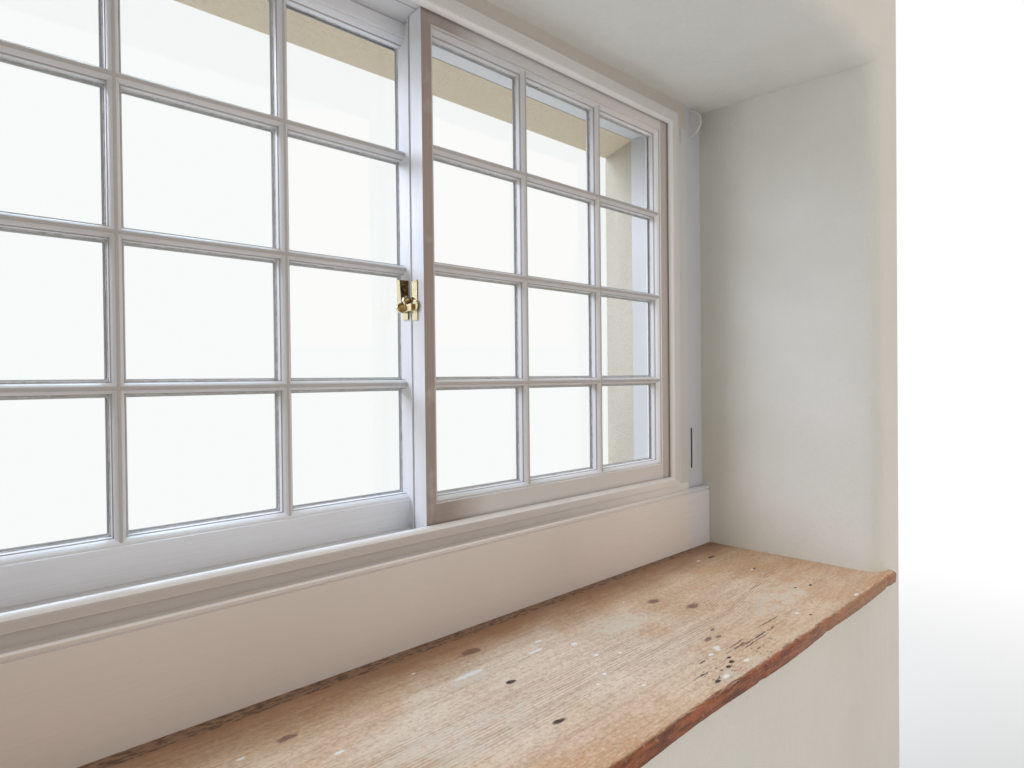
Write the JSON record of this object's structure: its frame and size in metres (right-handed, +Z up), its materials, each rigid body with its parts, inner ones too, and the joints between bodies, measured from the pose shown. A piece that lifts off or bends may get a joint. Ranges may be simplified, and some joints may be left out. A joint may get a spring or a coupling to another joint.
{
  "type": "sliding sash window",
  "caption": "Horizontally sliding sash window of small panes in a deep plastered wall recess, with a pine window board and a brass screw catch.",
  "frame": {"origin": "on the floor, at the middle of the box that holds the part", "axes": "+X to the right seen from the room, +Y toward outdoors, +Z up"},
  "size_m": [1.8, 0.674, 1.99],
  "materials": {
    "masonry": "rough",
    "plaster": "matte",
    "render": "rough",
    "sill_stone": "rough",
    "white_paint": "satin",
    "pine": "matte",
    "pane": "clear",
    "brass": "polished"
  },
  "bodies": {
    "root": {"wall_below": "masonry", "wall_left": "masonry", "wall_right": "masonry", "wall_head": "masonry", "plaster_below": "plaster", "plaster_left": "plaster", "plaster_right": "plaster", "plaster_head": "plaster", "render_below": "render", "render_left": "render", "render_right": "render", "render_head": "render", "stone_sill": "sill_stone", "window_board": "pine", "apron_board": "white_paint", "frame_sill": "white_paint", "frame_head": "white_paint", "frame_jamb_left": "white_paint", "frame_jamb_right": "white_paint", "strip_left": "white_paint", "strip_right": "white_paint", "bead_sill": "white_paint", "bead_head": "white_paint", "bead_left": "white_paint", "bead_right": "white_paint", "left_meeting_stile": "white_paint", "left_side_stile": "white_paint", "left_top_rail": "white_paint", "left_bottom_rail": "white_paint", "left_bars": "white_paint", "left_glass": "pane", "right_meeting_stile": "white_paint", "right_side_stile": "white_paint", "right_top_rail": "white_paint", "right_bottom_rail": "white_paint", "right_bars": "white_paint", "right_glass": "pane", "catch_plate": "brass", "catch_keeper": "brass", "catch_screw": "brass", "catch_finger": "brass", "blind_bracket_left": "white_paint", "blind_bracket_right": "white_paint"}
  },
  "joints": []
}
